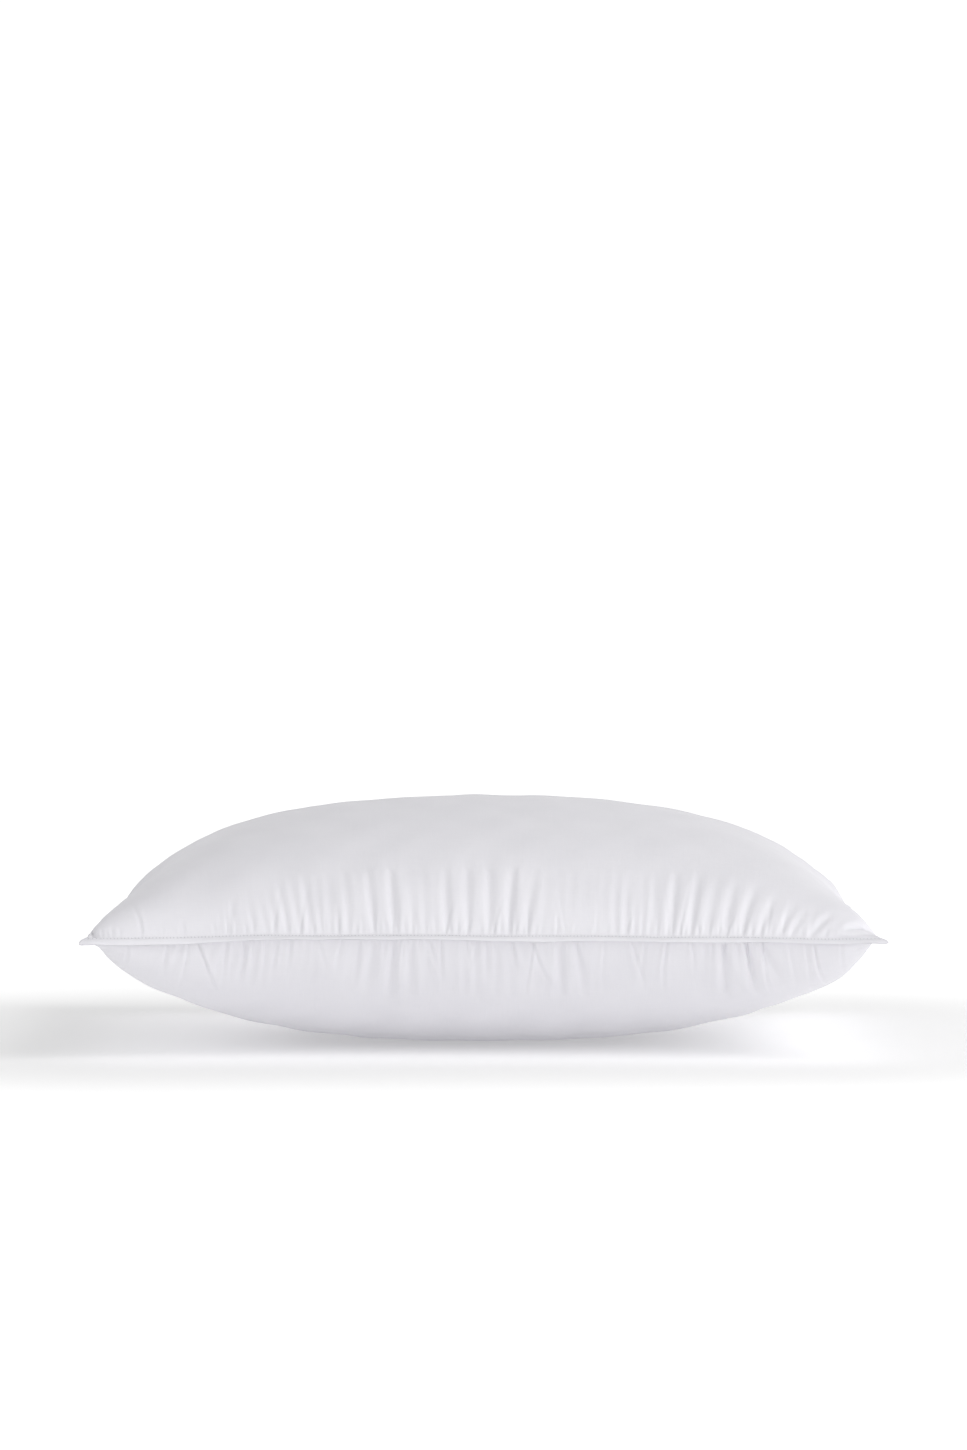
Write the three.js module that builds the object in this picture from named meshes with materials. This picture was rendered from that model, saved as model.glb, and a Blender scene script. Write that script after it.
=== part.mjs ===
// Bed pillow, standard size: a sewn cotton shell round one loose filling.
//
// Two panels are sewn edge to edge, turned right side out and topstitched, which leaves a flat double-ply
// flange all the way round. The fill opening in one long side is closed by a seam of its own, and a folded
// care label is caught in that side. The pillow lies on its underside, at rest.
//
// Millimetres. +X runs along the long sides, +Z is up, and the origin is the middle of the resting face.

import * as THREE from 'three';
import { LoftGeometry } from 'three/addons/geometries/LoftGeometry.js';

// ---- driving dimensions ----

const TIP_LENGTH = 640; // corner tip to corner tip along X, filled (660 cut)
const TIP_WIDTH = 488; // corner tip to corner tip along Y, filled (508 cut)
const LONG_SIDE_BOW = 24; // how far each long side pulls in at its middle
const SHORT_SIDE_BOW = 17; // how far each short side pulls in at its middle
const SEAM_HEIGHT = 100; // middle of the flange above the resting face
const CROWN = 100; // top of the pillow above the middle of the flange

const CLOTH = 0.4; // one layer of shell cloth
const FLANGE_WIDTH = 6.5; // outer edge to the foot of the filled pocket
const CORNER_CUT = 7; // how far from its tip each corner starts to round

const FULLNESS = 3.8; // exponent of the profile from side to side: higher is boxier
const CORNER_FULLNESS = 2; // how full the corners are: higher is fuller
const REST_LEVEL = 0.93; // share of the fullness at which the underside lies flat
const REST_BLEND = 1.2; // exponent that eases the underside into its resting face

const FILLING_CLEARANCE = 1.5; // filling to shell
const FILLING_EDGE = 4; // thickness of the filling at its rim, short of the seam

const STITCH_THREAD = 0.5; // topstitch thread diameter
const STITCH_OFFSET = 0.9; // topstitch row, outwards from the foot of the pocket
const SEAM_THREAD = 0.4; // edge seam thread diameter
const SEAM_INSET = 1.8; // edge seam, inwards from the outer edge
const THREAD_CLEARANCE = 0.3; // thread to cloth, and thread end to thread end

const OPENING_LENGTH = 180; // fill opening in the rear long side, centred

const LABEL_WIDTH = 32; // along the edge
const LABEL_DROP = 40; // how far it hangs below the middle of the flange
const LABEL_CATCH = 1; // how far it reaches in between the panels
const LABEL_BEND = 2.5; // radius where it turns down
const LABEL_CLEARANCE = 0.25; // label to panel inside the flange
const LABEL_X = 205; // middle of the label

// ---- mesh resolution ----

const LONG_SIDE_STEPS = 14;
const SHORT_SIDE_STEPS = 11;
const CORNER_STEPS = 3;
const THREAD_SIDES = 6;
const BEND_STEPS = 4;
const POCKET_RINGS = [0, 0.14, 0.3, 0.46, 0.6, 0.72, 0.82, 0.9, 0.96]; // shares of the way out to the foot
const SLOPE_STEP = 0.5; // run over which a surface's slope is taken
const HALVINGS = 40; // of the span when a share is searched for

// ---- values that follow from them ----

const PLY = 2 * CLOTH; // each panel is doubled in the flange by its turned-in allowance
const PLY_GAP = SEAM_THREAD + 2 * THREAD_CLEARANCE; // between the panels, where the edge seam runs
const LABEL_THICKNESS = PLY_GAP - 2 * LABEL_CLEARANCE; // folded double
const FLANGE_HALF = PLY_GAP / 2 + PLY;
const POCKET_LENGTH = TIP_LENGTH - 2 * FLANGE_WIDTH;
const POCKET_WIDTH = TIP_WIDTH - 2 * FLANGE_WIDTH;
const TOP_RISE = CROWN - FLANGE_HALF;
const UNDER_DROP = SEAM_HEIGHT - FLANGE_HALF;

// ---- the plan ----

// Half the length at a given y, and half the width at a given x, of an outline with pulled-in sides.
const halfLength = (y, length, width) => length / 2 - SHORT_SIDE_BOW * (1 - (2 * y / width) ** 2);
const halfWidth = (x, length, width) => width / 2 - LONG_SIDE_BOW * (1 - (2 * x / length) ** 2);

// The closed plan outline at a distance inside the outer edge, as points with z 0, counterclockwise from the
// front left corner. Every inset gives the same number of points, so that outlines can be lofted.
function outline(inset) {
  const length = TIP_LENGTH - 2 * inset;
  const width = TIP_WIDTH - 2 * inset;
  const cut = CORNER_CUT;
  const sides = [
    (t) => [t * (length / 2 - cut), -halfWidth(t * (length / 2 - cut), length, width)],
    (t) => [halfLength(t * (width / 2 - cut), length, width), t * (width / 2 - cut)],
    (t) => [-t * (length / 2 - cut), halfWidth(t * (length / 2 - cut), length, width)],
    (t) => [-halfLength(t * (width / 2 - cut), length, width), -t * (width / 2 - cut)],
  ];
  const tips = [[1, -1], [1, 1], [-1, 1], [-1, -1]];
  const points = [];
  sides.forEach((side, i) => {
    const steps = i % 2 ? SHORT_SIDE_STEPS : LONG_SIDE_STEPS;
    for (let k = 0; k <= steps; k++) points.push(new THREE.Vector2(...side(-1 + 2 * k / steps)));
    const corner = new THREE.QuadraticBezierCurve(
      points[points.length - 1],
      new THREE.Vector2(tips[i][0] * length / 2, tips[i][1] * width / 2),
      new THREE.Vector2(...sides[(i + 1) % 4](-1)),
    );
    points.push(...corner.getPoints(CORNER_STEPS).slice(1, -1));
  });
  return points.map((p) => new THREE.Vector3(p.x, p.y, 0));
}

const pocketFoot = outline(FLANGE_WIDTH);

// ---- the pocket's surfaces ----

// How full the pocket is over a point of the plan: 1 in the middle, 0 at its foot. Each profile falls to its
// own pair of sides, and near a corner the lower of the two has most of the say.
function fullness(x, y) {
  const across = Math.min(1, Math.abs(x) / halfLength(y, POCKET_LENGTH, POCKET_WIDTH));
  const along = Math.min(1, Math.abs(y) / halfWidth(x, POCKET_LENGTH, POCKET_WIDTH));
  const profiles = [across, along].map((t) => (1 - t ** FULLNESS) ** -CORNER_FULLNESS);
  return (profiles[0] + profiles[1] - 1) ** (-1 / CORNER_FULLNESS);
}

const topOuter = (x, y) => SEAM_HEIGHT + FLANGE_HALF + TOP_RISE * fullness(x, y);

function underOuter(x, y) {
  const share = Math.min(1, fullness(x, y) / REST_LEVEL);
  return UNDER_DROP * (1 - share) ** REST_BLEND;
}

// Height of a surface moved along its own normal by a thickness, down for a positive one.
function offsetHeight(surface, x, y, thickness) {
  const z = surface(x, y);
  const slopeX = (surface(x - Math.sign(x) * SLOPE_STEP, y) - z) / SLOPE_STEP;
  const slopeY = (surface(x, y - Math.sign(y) * SLOPE_STEP) - z) / SLOPE_STEP;
  return z - thickness * Math.hypot(1, slopeX, slopeY);
}

// A ring over the plan: each point of an outline, drawn in to its share of the way out from the middle.
const ring = (foot, shares, height) => foot.map((p, i) => {
  const [x, y] = [p.x * shares[i], p.y * shares[i]];
  return new THREE.Vector3(x, y, height(x, y));
});

const level = (points, z) => points.map((p) => new THREE.Vector3(p.x, p.y, z));

// The share of the way out, along each ray, at which a measure that falls outwards passes a value.
function sharesWhere(foot, measure, value) {
  return foot.map((p) => {
    let [low, high] = [0, 1];
    for (let i = 0; i < HALVINGS; i++) {
      const middle = (low + high) / 2;
      if (measure(p.x * middle, p.y * middle) > value) low = middle;
      else high = middle;
    }
    return low;
  });
}

// The top's rings: evenly from the middle out towards the foot.
const topRings = () => POCKET_RINGS.map((t) => pocketFoot.map(() => t));

// The underside's rings: the middle, the edge of the resting face, then evenly on to the foot.
function underRings() {
  const resting = sharesWhere(pocketFoot, fullness, REST_LEVEL);
  const beyond = POCKET_RINGS.map((t) => resting.map((share) => share + (1 - share) * t));
  return [resting.map(() => 0), ...beyond];
}

// A closed skin: rings out over its lower face, then rings in over its upper face, all counterclockwise from
// above. The quads' diagonals lean one way below and the other way above, so that the facets of its two faces
// run parallel, and so do those of the skin inside it.
function skinGeometry(lowerRings, upperRings) {
  const rings = [...lowerRings, ...upperRings];
  const columns = rings[0].length;
  const index = [];
  for (let i = 0; i < rings.length - 1; i++) {
    for (let j = 0; j < columns; j++) {
      const next = (j + 1) % columns;
      const [a, b] = [i * columns + j, i * columns + next];
      const [c, d] = [b + columns, a + columns];
      if (i < lowerRings.length) index.push(a, b, d, b, c, d);
      else index.push(a, b, c, a, c, d);
    }
  }
  const geometry = new THREE.BufferGeometry().setFromPoints(rings.flat());
  geometry.setIndex(index);
  geometry.computeVertexNormals();
  return geometry;
}

// ---- shell panels ----

// Each panel is one sheet with a flat flange round its dome or bowl.
function panelGeometry(lowerRings, flangeBottom, flangeTop, upperRings) {
  return skinGeometry(
    [...lowerRings, level(pocketFoot, flangeBottom), level(outline(0), flangeBottom)],
    [level(outline(0), flangeTop), level(pocketFoot, flangeTop), ...upperRings.toReversed()],
  );
}

function topPanelGeometry() {
  const inside = (x, y) => offsetHeight(topOuter, x, y, CLOTH);
  const shares = topRings();
  return panelGeometry(
    shares.map((s) => ring(pocketFoot, s, inside)),
    SEAM_HEIGHT + PLY_GAP / 2,
    SEAM_HEIGHT + FLANGE_HALF,
    shares.map((s) => ring(pocketFoot, s, topOuter)),
  );
}

function bottomPanelGeometry() {
  const inside = (x, y) => offsetHeight(underOuter, x, y, -CLOTH);
  const shares = underRings();
  return panelGeometry(
    shares.map((s) => ring(pocketFoot, s, underOuter)),
    SEAM_HEIGHT - FLANGE_HALF,
    SEAM_HEIGHT - PLY_GAP / 2,
    shares.map((s) => ring(pocketFoot, s, inside)),
  );
}

// ---- filling ----

// Loose filling that fills the pocket, clear of the cloth, and thins out just short of the seam. Its rings
// lie on the panels' own.
function fillingGeometry() {
  const offset = CLOTH + FILLING_CLEARANCE;
  const roof = (x, y) => offsetHeight(topOuter, x, y, offset);
  const floor = (x, y) => offsetHeight(underOuter, x, y, -offset);
  const reach = sharesWhere(pocketFoot, (x, y) => roof(x, y) - floor(x, y), FILLING_EDGE);
  const upToRim = (rings) => [...rings.map((r) => r.map((s, i) => Math.min(s, reach[i]))), reach];
  return skinGeometry(
    upToRim(underRings()).map((s) => ring(pocketFoot, s, floor)),
    upToRim(topRings()).toReversed().map((s) => ring(pocketFoot, s, roof)),
  );
}

// ---- threads ----

// A thread of round section along points in a level plane. A closed run ends where it began.
function threadGeometry(points, diameter, closed) {
  const count = points.length;
  const at = (i) => (closed ? points[(i + count) % count] : points[THREE.MathUtils.clamp(i, 0, count - 1)]);
  const sections = points.map((p, i) => {
    const along = new THREE.Vector3().subVectors(at(i + 1), at(i - 1)).normalize();
    const side = new THREE.Vector3(-along.y, along.x, 0);
    return Array.from({ length: THREAD_SIDES }, (_, k) => {
      const angle = 2 * Math.PI * k / THREAD_SIDES;
      const out = side.clone().multiplyScalar(Math.cos(angle) * diameter / 2);
      return p.clone().add(out).add(new THREE.Vector3(0, 0, Math.sin(angle) * diameter / 2));
    });
  });
  if (closed) sections.push(sections[0]);
  return new LoftGeometry(sections, { capStart: !closed, capEnd: !closed });
}

const stitchLevel = FLANGE_HALF + THREAD_CLEARANCE + STITCH_THREAD / 2;
const stitchRow = (z) => level(outline(FLANGE_WIDTH - STITCH_OFFSET), z);

// The edge seam's points on one side of a fill opening in the rear long side, which runs from +X to -X.
function edgeSeamRuns() {
  const points = level(outline(SEAM_INSET), SEAM_HEIGHT);
  const first = LONG_SIDE_STEPS + CORNER_STEPS + SHORT_SIDE_STEPS + CORNER_STEPS;
  const rear = points.slice(first, first + LONG_SIDE_STEPS + 1);
  const rest = [...points.slice(first + LONG_SIDE_STEPS), ...points.slice(0, first + 1)];
  const half = OPENING_LENGTH / 2;
  const gap = THREAD_CLEARANCE / 2;
  const onRear = (x) => new THREE.Vector3(
    x,
    halfWidth(x, TIP_LENGTH - 2 * SEAM_INSET, TIP_WIDTH - 2 * SEAM_INSET),
    SEAM_HEIGHT,
  );
  const beyond = (p) => Math.abs(p.x) > half + gap;
  const sewn = [
    onRear(-half - gap),
    ...rear.filter((p) => p.x < 0 && beyond(p)).slice(0, -1),
    ...rest,
    ...rear.filter((p) => p.x > 0 && beyond(p)).slice(1),
    onRear(half + gap),
  ];
  const closing = [
    onRear(half - gap),
    ...rear.filter((p) => Math.abs(p.x) < half - gap),
    onRear(-half + gap),
  ];
  return { sewn, closing };
}

// ---- care label ----

// A folded tape caught between the panels, that comes out of the rear flange edge, turns down and hangs. Its
// section is drawn with x outwards from the edge and y up from the middle of the flange.
function labelGeometry() {
  const half = LABEL_THICKNESS / 2;
  const bendY = half - LABEL_THICKNESS - LABEL_BEND;
  const section = new THREE.Shape();
  section.moveTo(-LABEL_CATCH, half);
  section.absarc(0, bendY, LABEL_BEND + LABEL_THICKNESS, Math.PI / 2, 0, true);
  section.lineTo(LABEL_BEND + LABEL_THICKNESS, -LABEL_DROP);
  section.lineTo(LABEL_BEND, -LABEL_DROP);
  section.absarc(0, bendY, LABEL_BEND, 0, Math.PI / 2, false);
  section.lineTo(-LABEL_CATCH, -half);
  const geometry = new THREE.ExtrudeGeometry(section, {
    depth: LABEL_WIDTH,
    bevelEnabled: false,
    curveSegments: BEND_STEPS,
  });
  return geometry.translate(0, 0, -LABEL_WIDTH / 2);
}

// ---- assembly ----

const cotton = new THREE.MeshStandardMaterial({ color: 0xecebf0, roughness: 0.9, metalness: 0 });
const clusters = new THREE.MeshStandardMaterial({ color: 0xf4f2ec, roughness: 1, metalness: 0 });
const thread = new THREE.MeshStandardMaterial({ color: 0xf2f1f5, roughness: 0.7, metalness: 0 });
const satin = new THREE.MeshStandardMaterial({ color: 0xf1f0ee, roughness: 0.5, metalness: 0 });

const pillow = new THREE.Group();

function addPiece(name, geometry, material) {
  const mesh = new THREE.Mesh(geometry, material);
  mesh.name = name;
  pillow.add(mesh);
  return mesh;
}

addPiece('top_panel', topPanelGeometry(), cotton);
addPiece('bottom_panel', bottomPanelGeometry(), cotton);
addPiece('filling', fillingGeometry(), clusters);

const seams = edgeSeamRuns();
addPiece('edge_seam_thread', threadGeometry(seams.sewn, SEAM_THREAD, false), thread);
addPiece('closing_seam_thread', threadGeometry(seams.closing, SEAM_THREAD, false), thread);
const needleRow = stitchRow(SEAM_HEIGHT + stitchLevel);
const bobbinRow = stitchRow(SEAM_HEIGHT - stitchLevel);
addPiece('topstitch_needle_thread', threadGeometry(needleRow, STITCH_THREAD, true), thread);
addPiece('topstitch_bobbin_thread', threadGeometry(bobbinRow, STITCH_THREAD, true), thread);

const label = addPiece('care_label', labelGeometry(), satin);
const edgeTurn = Math.atan(8 * LONG_SIDE_BOW * LABEL_X / TIP_LENGTH ** 2);
label.applyMatrix4(new THREE.Matrix4().makeBasis(
  new THREE.Vector3(-Math.sin(edgeTurn), Math.cos(edgeTurn), 0),
  new THREE.Vector3(0, 0, 1),
  new THREE.Vector3(Math.cos(edgeTurn), Math.sin(edgeTurn), 0),
));
label.position.set(LABEL_X, halfWidth(LABEL_X, TIP_LENGTH, TIP_WIDTH), SEAM_HEIGHT);

export default pillow;
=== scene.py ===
"""A bed pillow: two cotton panels over a fibre filling, joined in a narrow topstitched flange.

Everything is in metres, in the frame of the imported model: +X along the long sides, the front
long side towards -Y, +Z up from the surface that the pillow lies on.
"""

import bpy
import numpy as np
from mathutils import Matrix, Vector


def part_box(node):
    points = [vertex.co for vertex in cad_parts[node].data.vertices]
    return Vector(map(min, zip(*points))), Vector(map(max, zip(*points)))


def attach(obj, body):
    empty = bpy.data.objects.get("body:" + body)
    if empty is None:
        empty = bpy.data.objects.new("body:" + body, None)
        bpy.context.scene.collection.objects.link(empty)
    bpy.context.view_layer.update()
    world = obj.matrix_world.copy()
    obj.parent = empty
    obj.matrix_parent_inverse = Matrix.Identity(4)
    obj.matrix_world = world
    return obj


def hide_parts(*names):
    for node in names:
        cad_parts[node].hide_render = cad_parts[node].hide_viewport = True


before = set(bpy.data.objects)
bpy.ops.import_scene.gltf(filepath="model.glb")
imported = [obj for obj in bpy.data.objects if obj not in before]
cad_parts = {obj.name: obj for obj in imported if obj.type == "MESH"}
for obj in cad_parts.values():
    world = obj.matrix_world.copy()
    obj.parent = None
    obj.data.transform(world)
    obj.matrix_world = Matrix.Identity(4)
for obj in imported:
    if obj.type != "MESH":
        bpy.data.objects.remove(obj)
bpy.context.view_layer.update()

# ---- sizes ----
FLAT_LENGTH, FLAT_WIDTH = 0.647, 0.495  # the pocket as cut, from stitch row to stitch row
FOOT_LENGTH, FOOT_WIDTH = 0.627, 0.475  # the flange's foot when filled, from corner to corner
LONG_BOW, SHORT_BOW = 0.024, 0.017  # how far the middle of a side is drawn in
SEAM_HEIGHT = (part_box("top_panel")[0].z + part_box("bottom_panel")[1].z) / 2
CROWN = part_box("top_panel")[1].z
FLANGE_WIDTH = 0.0065
STITCH_ROW = 0.00095  # from the flange's foot
STITCH_PITCH = 0.00275
STITCH_RADIUS = 0.00025
STITCH_LOW, STITCH_HIGH = 0.00014, 0.00050  # thread's middle in a hole, and on the cloth
SEAM_RADIUS = 0.00018
SEAM_INSET = 0.0018  # edge seam, from the flange's edge
OPENING = 0.180  # the part of the rear side left open to fill the pillow, then sewn up
OPENING_GAP = 0.00025  # between the ends of the two hidden threads, along the seam
LABEL_WIDTH = 0.032
LABEL_CATCH = 0.001  # how much of the label is caught in the edge
LABEL_ROOM_HALF = 0.022  # half the stretch of edge that opens a little to let the label in
LABEL_ROOM = 0.00022
ROOM_RAMP = 0.005  # along the seam, over which the edge opens
TAPE_THICKNESS = 0.00016
TAPE_HALF_GAP = 0.00014  # from the middle of the folded tape to the middle of each layer

GRID = (39, 29)  # squares of the first, coarse cloth grid
LEVELS = 4  # each level halves the squares

rng = np.random.default_rng(20)


# ---- the seam line ----
SIDES = np.array([FOOT_LENGTH, FOOT_WIDTH, FOOT_LENGTH, FOOT_WIDTH])
STARTS = np.concatenate([[0.0], np.cumsum(SIDES)])
ROUND = STARTS[-1]  # distance round the foot, from the front left corner and back
STITCHES = int(round(ROUND / STITCH_PITCH))


def unit(v):
    return v / np.maximum(np.linalg.norm(v, axis=-1, keepdims=True), 1e-12)


def locate(s):
    """Side of a place on the seam (0 front, 1 right, 2 rear, 3 left), and where on it, -1 to 1."""
    s = np.mod(s, ROUND)
    side = np.clip(np.searchsorted(STARTS, s, side="right") - 1, 0, 3)
    return side, 2 * (s - STARTS[side]) / SIDES[side] - 1


def side_normal(side, t):
    half_long, half_short = FOOT_LENGTH / 2, FOOT_WIDTH / 2
    x = np.where(side % 2 == 0, -2 * LONG_BOW * t, half_short)
    y = np.where(side % 2 == 0, -half_long, -2 * SHORT_BOW * t)
    sign = np.where(side < 2, 1.0, -1.0)
    return unit(np.stack([sign * x, sign * y, np.zeros_like(sign)], -1))


MITRE_REACH, MITRE_WIDER = 0.0055, 0.32  # the flange turns the corner in a point


def seam_frame(s):
    """Place on the foot's outline, the outward direction (mitred at the corners), distance to
    the nearest corner, and how much wider the flange is there."""
    side, t = locate(s)
    bow = 1 - t * t
    half_long, half_short = FOOT_LENGTH / 2, FOOT_WIDTH / 2
    sign = np.where(side < 2, 1.0, -1.0)
    x = np.where(side % 2 == 0, t * half_long, half_long - SHORT_BOW * bow)
    y = np.where(side % 2 == 0, -(half_short - LONG_BOW * bow), t * half_short)
    place = np.stack([sign * x, sign * y, np.full_like(x, SEAM_HEIGHT)], -1)
    normal = side_normal(side, t)
    to_corner = (1 - np.abs(t)) * SIDES[side] / 2
    other = np.where(t < 0, (side + 3) % 4, (side + 1) % 4)
    here = side_normal(side, np.where(t < 0, -1.0, 1.0))
    there = side_normal(other, np.where(t < 0, 1.0, -1.0))
    mitre = np.exp(-((to_corner / MITRE_REACH) ** 2))[..., None]
    out = unit(normal * (1 - mitre) + unit(here + there) * mitre)
    return place, out, to_corner, 1 + MITRE_WIDER * mitre[..., 0]


def seam_noise(wavelength):
    """Smooth noise along the seam, as a function of the distance along it."""
    count = max(4, int(round(ROUND / wavelength)))
    knots = rng.normal(0, 1, count)

    def value(s):
        x = np.mod(s / ROUND, 1.0) * count
        i = np.floor(x).astype(int)
        f = x - i
        a, b, c, d = (knots[(i + k) % count] for k in (-1, 0, 1, 2))
        return (
            (1 - f) ** 3 * a
            + (3 * f**3 - 6 * f**2 + 4) * b
            + (-3 * f**3 + 3 * f**2 + 3 * f + 1) * c
            + f**3 * d
        ) / 6

    return value


wave_long, wave_short = seam_noise(0.11), seam_noise(0.035)
droop_noise = seam_noise(0.17)
ripple_long, ripple_short = seam_noise(0.045), seam_noise(0.014)
bulk_noise = seam_noise(0.010)
pull = {side: [seam_noise(w) for w in (0.12, 0.045, 0.020)] for side in ("top", "bottom")}


EASE = {"top": 0.55, "bottom": 1.3}  # the lower panel is fed in more unevenly than the upper
LONG_PULL, MIDDLE_PULL, SHORT_PULL = 0.0024, 0.0016, 0.0006
EVEN_REACH = 0.03  # distance from a corner over which the unevenness fades


def gathered(s, side):
    """Where a point of a panel's edge is sewn to: the cloth is fed into the seam unevenly."""
    to_corner = seam_frame(s)[2]
    fade = np.clip(to_corner / EVEN_REACH, 0, 1)
    long, middle, short = pull[side]
    shift = LONG_PULL * long(s) + MIDDLE_PULL * middle(s) + SHORT_PULL * short(s)
    return s + fade * EASE[side] * shift


REAR_TIP_SAG = 0.005  # the rear corners hang a little lower than the front ones
TIP_REACH = 0.06  # distance from a rear corner over which the seam line rises again
WAVE_LONG, WAVE_SHORT = 0.0011, 0.0003  # how far the seam line wanders up and down
WAVE_REACH = 0.05  # distance from a corner over which that fades
# degrees that the flange hangs down: on the front side, on the others, and how much it varies
DROOP_FRONT, DROOP_REST, DROOP_VARIES = 50, 40, 9
# at the front it hangs most near the left corner: how much more, where, and how widely
DROOP_MORE, MORE_AT, MORE_WIDTH = 14, -0.75, 0.22
# share of the droop at a corner, what the sides add, and the distance over which they add it
CORNER_DROOP, SIDE_DROOP, DROOP_REACH = 0.55, 0.45, 0.035
RIPPLE_LONG, RIPPLE_SHORT, CURL = 0.0009, 0.0004, 0.0004  # at the flange's edge

label_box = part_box("care_label")
label_x = (label_box[0].x + label_box[1].x) / 2
LABEL_S = STARTS[2] + FOOT_LENGTH / 2 - label_x  # the rear side runs from right to left


def flange_point(s, across, high):
    """Point of the flange at a distance out from its foot and a height above its middle."""
    place, out, to_corner, wider = seam_frame(s)
    calm = np.clip(to_corner / WAVE_REACH, 0, 1)
    up = np.array([0.0, 0.0, 1.0])
    place = place + up * (calm * (WAVE_LONG * wave_long(s) + WAVE_SHORT * wave_short(s)))[..., None]
    side, t = locate(s)
    rear = np.choose(side, [0 * t, (1 + t) / 2, 0 * t + 1, (1 - t) / 2])
    at_tip = np.exp(-((to_corner / TIP_REACH) ** 2))
    place = place - up * (rear * REAR_TIP_SAG * at_tip)[..., None]
    more = DROOP_MORE * np.exp(-(((t - MORE_AT) / MORE_WIDTH) ** 2))
    steep = np.where(side == 0, DROOP_FRONT + more, DROOP_REST)
    steep = steep * (CORNER_DROOP + SIDE_DROOP * np.clip(to_corner / DROOP_REACH, 0, 1))
    steep = steep + DROOP_VARIES * droop_noise(s)
    droop = np.radians(steep)[..., None]
    lie = out * np.cos(droop) - up * np.sin(droop)
    face = out * np.sin(droop) + up * np.cos(droop)
    share = across / FLANGE_WIDTH
    bend = share**2 * (RIPPLE_LONG * ripple_long(s) + RIPPLE_SHORT * ripple_short(s) - CURL)
    return place + lie * (across * wider)[..., None] + face * (high + bend)[..., None]


# ---- cloth solver: a panel on a grid, blown up by the filling, held at its edge ----
def edge_of_grid(nx, ny):
    """Grid indices of the pocket's edge and their distance along the seam, in order."""
    i = np.concatenate([np.arange(nx), np.full(ny, nx), np.arange(nx, 0, -1), np.zeros(ny, int)])
    j = np.concatenate([np.zeros(nx, int), np.arange(ny), np.full(nx, ny), np.arange(ny, 0, -1)])
    counts = (nx, ny, nx, ny)
    s = np.concatenate(
        [STARTS[k] + np.arange(n) / n * SIDES[k] for k, n in enumerate(counts)]
    )
    return i, j, s


def pin_edge(cloth, side, half_gap):
    """Puts the edge of a panel's grid where it is sewn."""
    nx, ny = cloth.shape[0] - 1, cloth.shape[1] - 1
    i, j, s = edge_of_grid(nx, ny)
    height = np.full_like(s, half_gap if side == "top" else -half_gap)
    cloth[i, j] = flange_point(gathered(s, side), np.zeros_like(s), height)


SQUARENESS = 3.8  # how far the fullness reaches into the corners


def fullness(nx, ny):
    """0 at the pocket's edge, rising to 1 over its middle."""
    u, v = np.meshgrid(np.linspace(-1, 1, nx + 1), np.linspace(-1, 1, ny + 1), indexing="ij")
    a = np.clip(1 - np.abs(u) ** SQUARENESS, 1e-6, 1)
    b = np.clip(1 - np.abs(v) ** SQUARENESS, 1e-6, 1)
    return u, v, (a**-2 + b**-2 - 1) ** -0.5


START_RISE, START_DROP = 0.93, 0.98  # of the way to the crown, and to the floor
START_FLAT = 0.93  # the fullness from which the underside starts out flat


def first_guess(side):
    """The pocket's half before it settles, on the coarse grid."""
    u, v, full = fullness(*GRID)
    x = u * (FOOT_LENGTH / 2 - SHORT_BOW * (1 - v**2))
    y = v * (FOOT_WIDTH / 2 - LONG_BOW * (1 - u**2))
    if side == "top":
        z = SEAM_HEIGHT + (CROWN - SEAM_HEIGHT) * START_RISE * full
    else:
        z = SEAM_HEIGHT - SEAM_HEIGHT * START_DROP * np.minimum(1, full / START_FLAT)
    return np.stack([x, y, z], -1)


MOMENTUM = 0.9  # share of each step's move that carries on into the next


def hold_length(a, b, free_a, free_b, rest, stretch, squeeze):
    """Moves the ends of every thread of the cloth so that it has its length again."""
    gap = b - a
    length = np.sqrt((gap * gap).sum(-1, keepdims=True)) + 1e-12
    error = (length - rest) / length
    share = np.where(error > 0, stretch, squeeze) * error / np.maximum(free_a + free_b, 1e-9)
    a += free_a * share * gap
    b -= free_b * share * gap


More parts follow.
